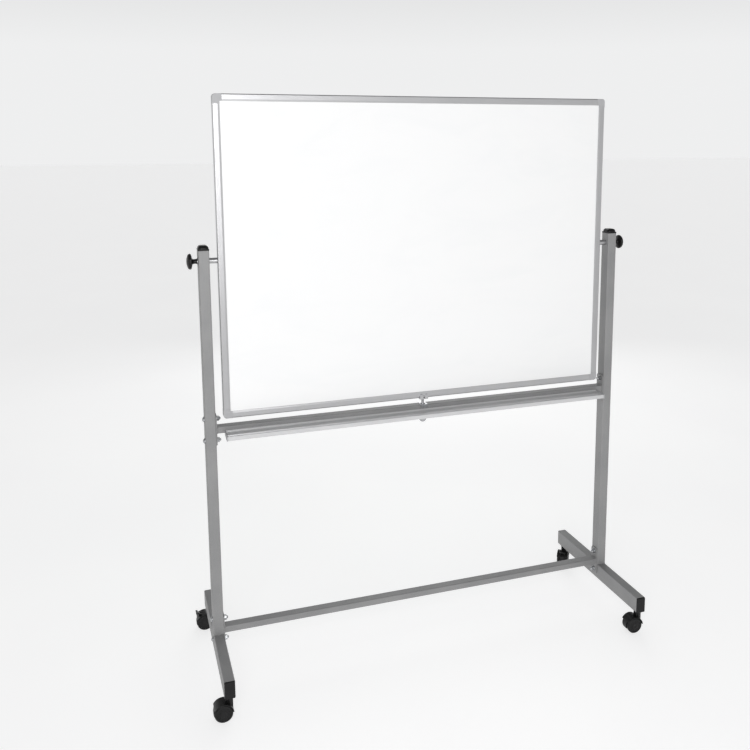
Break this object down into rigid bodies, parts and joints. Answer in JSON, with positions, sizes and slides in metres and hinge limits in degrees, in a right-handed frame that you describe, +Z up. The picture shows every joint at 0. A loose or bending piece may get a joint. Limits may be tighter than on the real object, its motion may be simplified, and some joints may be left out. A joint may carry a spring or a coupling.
{
  "type": "rolling whiteboard",
  "caption": "Two-sided framed writing board that turns end over end between two posts on a wheeled stand, with a marker tray, a bottom latch and clamping knobs at the pivots.",
  "frame": {"origin": "floor level, midway between the posts and midway along the feet", "axes": "+X from the left post to the right post, -Y towards the side the white panel faces, +Z up"},
  "size_m": [1.388, 0.516, 1.689],
  "materials": {
    "grey_paint": "satin",
    "anodised_aluminium": "satin",
    "tray_aluminium": "satin",
    "grey_corner_plastic": "satin",
    "white_enamel": "gloss",
    "green_enamel": "satin",
    "honeycomb_core": "matte",
    "black_plastic": "satin",
    "wheel_plastic": "satin",
    "zinc_hardware": "satin",
    "bright_steel": "polished",
    "nylon": "satin",
    "brass": "satin",
    "spring_steel": "satin"
  },
  "bodies": {
    "stand": {"post_left": "grey_paint", "post_right": "grey_paint", "post_caps": "black_plastic", "foot_left": "grey_paint", "foot_right": "grey_paint", "foot_end_plugs": "black_plastic", "upper_crossbar": "grey_paint", "lower_crossbar": "grey_paint", "crossbar_flanges": "grey_paint", "crossbar_bolts": "zinc_hardware", "crossbar_washers": "zinc_hardware", "crossbar_nuts": "zinc_hardware", "pivot_bushes": "nylon", "marker_tray": "tray_aluminium", "tray_end_caps": "grey_corner_plastic", "tray_screws": "zinc_hardware", "latch_bracket": "zinc_hardware", "latch_barrel": "zinc_hardware", "latch_guide_bush": "bright_steel", "caster_sockets": "black_plastic", "caster_stems": "bright_steel"},
    "board": {"rail_top": "anodised_aluminium", "rail_bottom": "anodised_aluminium", "rail_left": "anodised_aluminium", "rail_right": "anodised_aluminium", "frame_corners": "grey_corner_plastic", "white_panel": "white_enamel", "green_panel": "green_enamel", "panel_core": "honeycomb_core", "pivot_studs": "bright_steel", "pivot_spacers": "anodised_aluminium"},
    "latch": {"latch_fork": "bright_steel", "latch_rod": "bright_steel", "latch_spring_collar": "bright_steel", "latch_spring": "spring_steel", "latch_pull_knob": "bright_steel"},
    "knob_washer_left": {"knob_washer_left": "zinc_hardware"},
    "knob_left": {"clamp_knob_left": "black_plastic", "knob_insert_left": "brass"},
    "knob_washer_right": {"knob_washer_right": "zinc_hardware"},
    "knob_right": {"clamp_knob_right": "black_plastic", "knob_insert_right": "brass"},
    "caster_front_left": {"caster_housing_front_left": "black_plastic", "caster_axle_front_left": "bright_steel"},
    "wheel_front_left_a": {"caster_wheel_front_left_a": "wheel_plastic"},
    "wheel_front_left_b": {"caster_wheel_front_left_b": "wheel_plastic"},
    "caster_front_right": {"caster_housing_front_right": "black_plastic", "caster_axle_front_right": "bright_steel"},
    "wheel_front_right_a": {"caster_wheel_front_right_a": "wheel_plastic"},
    "wheel_front_right_b": {"caster_wheel_front_right_b": "wheel_plastic"},
    "caster_back_left": {"caster_housing_back_left": "black_plastic", "caster_axle_back_left": "bright_steel"},
    "wheel_back_left_a": {"caster_wheel_back_left_a": "wheel_plastic"},
    "wheel_back_left_b": {"caster_wheel_back_left_b": "wheel_plastic"},
    "brake_back_left": {"brake_pedal_back_left": "black_plastic"},
    "caster_back_right": {"caster_housing_back_right": "black_plastic", "caster_axle_back_right": "bright_steel"},
    "wheel_back_right_a": {"caster_wheel_back_right_a": "wheel_plastic"},
    "wheel_back_right_b": {"caster_wheel_back_right_b": "wheel_plastic"},
    "brake_back_right": {"brake_pedal_back_right": "black_plastic"}
  },
  "joints": [
    {"name": "board_turn", "type": "hinge", "parent": "stand", "child": "board", "pos_m": [0, 0, 1.232], "axis": [1, 0, 0], "continuous": true},
    {"name": "latch_pull", "type": "slide", "parent": "stand", "child": "latch", "axis": [0, 0, -1], "range_m": [0, 0.0135], "stiffness_N_per_m": 300, "springref_m": -0.02, "deforming": ["latch_spring"]},
    {"name": "knob_left_travel", "type": "slide", "parent": "board", "child": "knob_washer_left", "axis": [-1, 0, 0], "range_m": [0, 0.00251]},
    {"name": "knob_left_turn", "type": "hinge", "parent": "knob_washer_left", "child": "knob_left", "pos_m": [-0.675, 0, 1.232], "axis": [-1, 0, 0], "range_deg": [0, 720]},
    {"name": "knob_right_travel", "type": "slide", "parent": "board", "child": "knob_washer_right", "axis": [1, 0, 0], "range_m": [0, 0.00251]},
    {"name": "knob_right_turn", "type": "hinge", "parent": "knob_washer_right", "child": "knob_right", "pos_m": [0.675, 0, 1.232], "axis": [1, 0, 0], "range_deg": [0, 720]},
    {"name": "caster_front_left_swivel", "type": "hinge", "parent": "stand", "child": "caster_front_left", "pos_m": [-0.648, -0.238, 0.06], "axis": [0, 0, 1], "continuous": true},
    {"name": "wheel_front_left_a_roll", "type": "hinge", "parent": "caster_front_left", "child": "wheel_front_left_a", "pos_m": [-0.666, -0.238, 0.025], "axis": [0, 1, 0], "continuous": true},
    {"name": "wheel_front_left_b_roll", "type": "hinge", "parent": "caster_front_left", "child": "wheel_front_left_b", "pos_m": [-0.666, -0.238, 0.025], "axis": [0, 1, 0], "continuous": true},
    {"name": "caster_front_right_swivel", "type": "hinge", "parent": "stand", "child": "caster_front_right", "pos_m": [0.648, -0.238, 0.06], "axis": [0, 0, 1], "continuous": true},
    {"name": "wheel_front_right_a_roll", "type": "hinge", "parent": "caster_front_right", "child": "wheel_front_right_a", "pos_m": [0.63, -0.238, 0.025], "axis": [0, 1, 0], "continuous": true},
    {"name": "wheel_front_right_b_roll", "type": "hinge", "parent": "caster_front_right", "child": "wheel_front_right_b", "pos_m": [0.63, -0.238, 0.025], "axis": [0, 1, 0], "continuous": true},
    {"name": "caster_back_left_swivel", "type": "hinge", "parent": "stand", "child": "caster_back_left", "pos_m": [-0.648, 0.238, 0.06], "axis": [0, 0, 1], "continuous": true},
    {"name": "wheel_back_left_a_roll", "type": "hinge", "parent": "caster_back_left", "child": "wheel_back_left_a", "pos_m": [-0.666, 0.238, 0.025], "axis": [0, 1, 0], "continuous": true},
    {"name": "wheel_back_left_b_roll", "type": "hinge", "parent": "caster_back_left", "child": "wheel_back_left_b", "pos_m": [-0.666, 0.238, 0.025], "axis": [0, 1, 0], "continuous": true},
    {"name": "brake_back_left_press", "type": "hinge", "parent": "caster_back_left", "child": "brake_back_left", "pos_m": [-0.683, 0.238, 0.052], "axis": [0, -1, 0], "range_deg": [0, 14]},
    {"name": "caster_back_right_swivel", "type": "hinge", "parent": "stand", "child": "caster_back_right", "pos_m": [0.648, 0.238, 0.06], "axis": [0, 0, 1], "continuous": true},
    {"name": "wheel_back_right_a_roll", "type": "hinge", "parent": "caster_back_right", "child": "wheel_back_right_a", "pos_m": [0.63692, 0.22382, 0.025], "axis": [-0.788, 0.6157, 0], "continuous": true},
    {"name": "wheel_back_right_b_roll", "type": "hinge", "parent": "caster_back_right", "child": "wheel_back_right_b", "pos_m": [0.63692, 0.22382, 0.025], "axis": [-0.788, 0.6157, 0], "continuous": true},
    {"name": "brake_back_right_press", "type": "hinge", "parent": "caster_back_right", "child": "brake_back_right", "pos_m": [0.62645, 0.21042, 0.052], "axis": [0.788, -0.6157, 0], "range_deg": [0, 14]}
  ],
  "couplings": [
    {"joint": "knob_left_travel", "follows": "knob_left_turn", "m_per_rad": 0.00019894},
    {"joint": "knob_right_travel", "follows": "knob_right_turn", "m_per_rad": 0.00019894}
  ]
}
